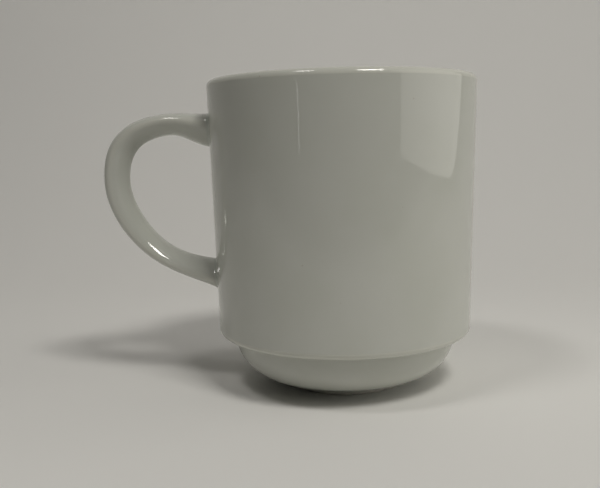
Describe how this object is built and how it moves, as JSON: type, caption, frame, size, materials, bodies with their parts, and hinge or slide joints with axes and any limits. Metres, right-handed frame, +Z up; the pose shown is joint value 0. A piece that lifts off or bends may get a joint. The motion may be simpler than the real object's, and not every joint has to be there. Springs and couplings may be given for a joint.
{
  "type": "stacking mug",
  "caption": "Glazed ceramic mug with straight tapered walls, a stepped-in stacking base on a foot ring, and a rounded loop handle.",
  "frame": {"origin": "middle of the whole mug's box, on the plane that the foot ring stands on; the cup's upright axis is 16.8 mm along +X from it", "axes": "+Z up along the cup's axis, towards the lip; -X from the cup towards the handle"},
  "size_m": [0.1157, 0.082, 0.094],
  "materials": {
    "body_glaze": "gloss",
    "handle_glaze": "gloss"
  },
  "bodies": {
    "root": {"mug_body": "body_glaze", "handle": "handle_glaze"}
  },
  "joints": []
}
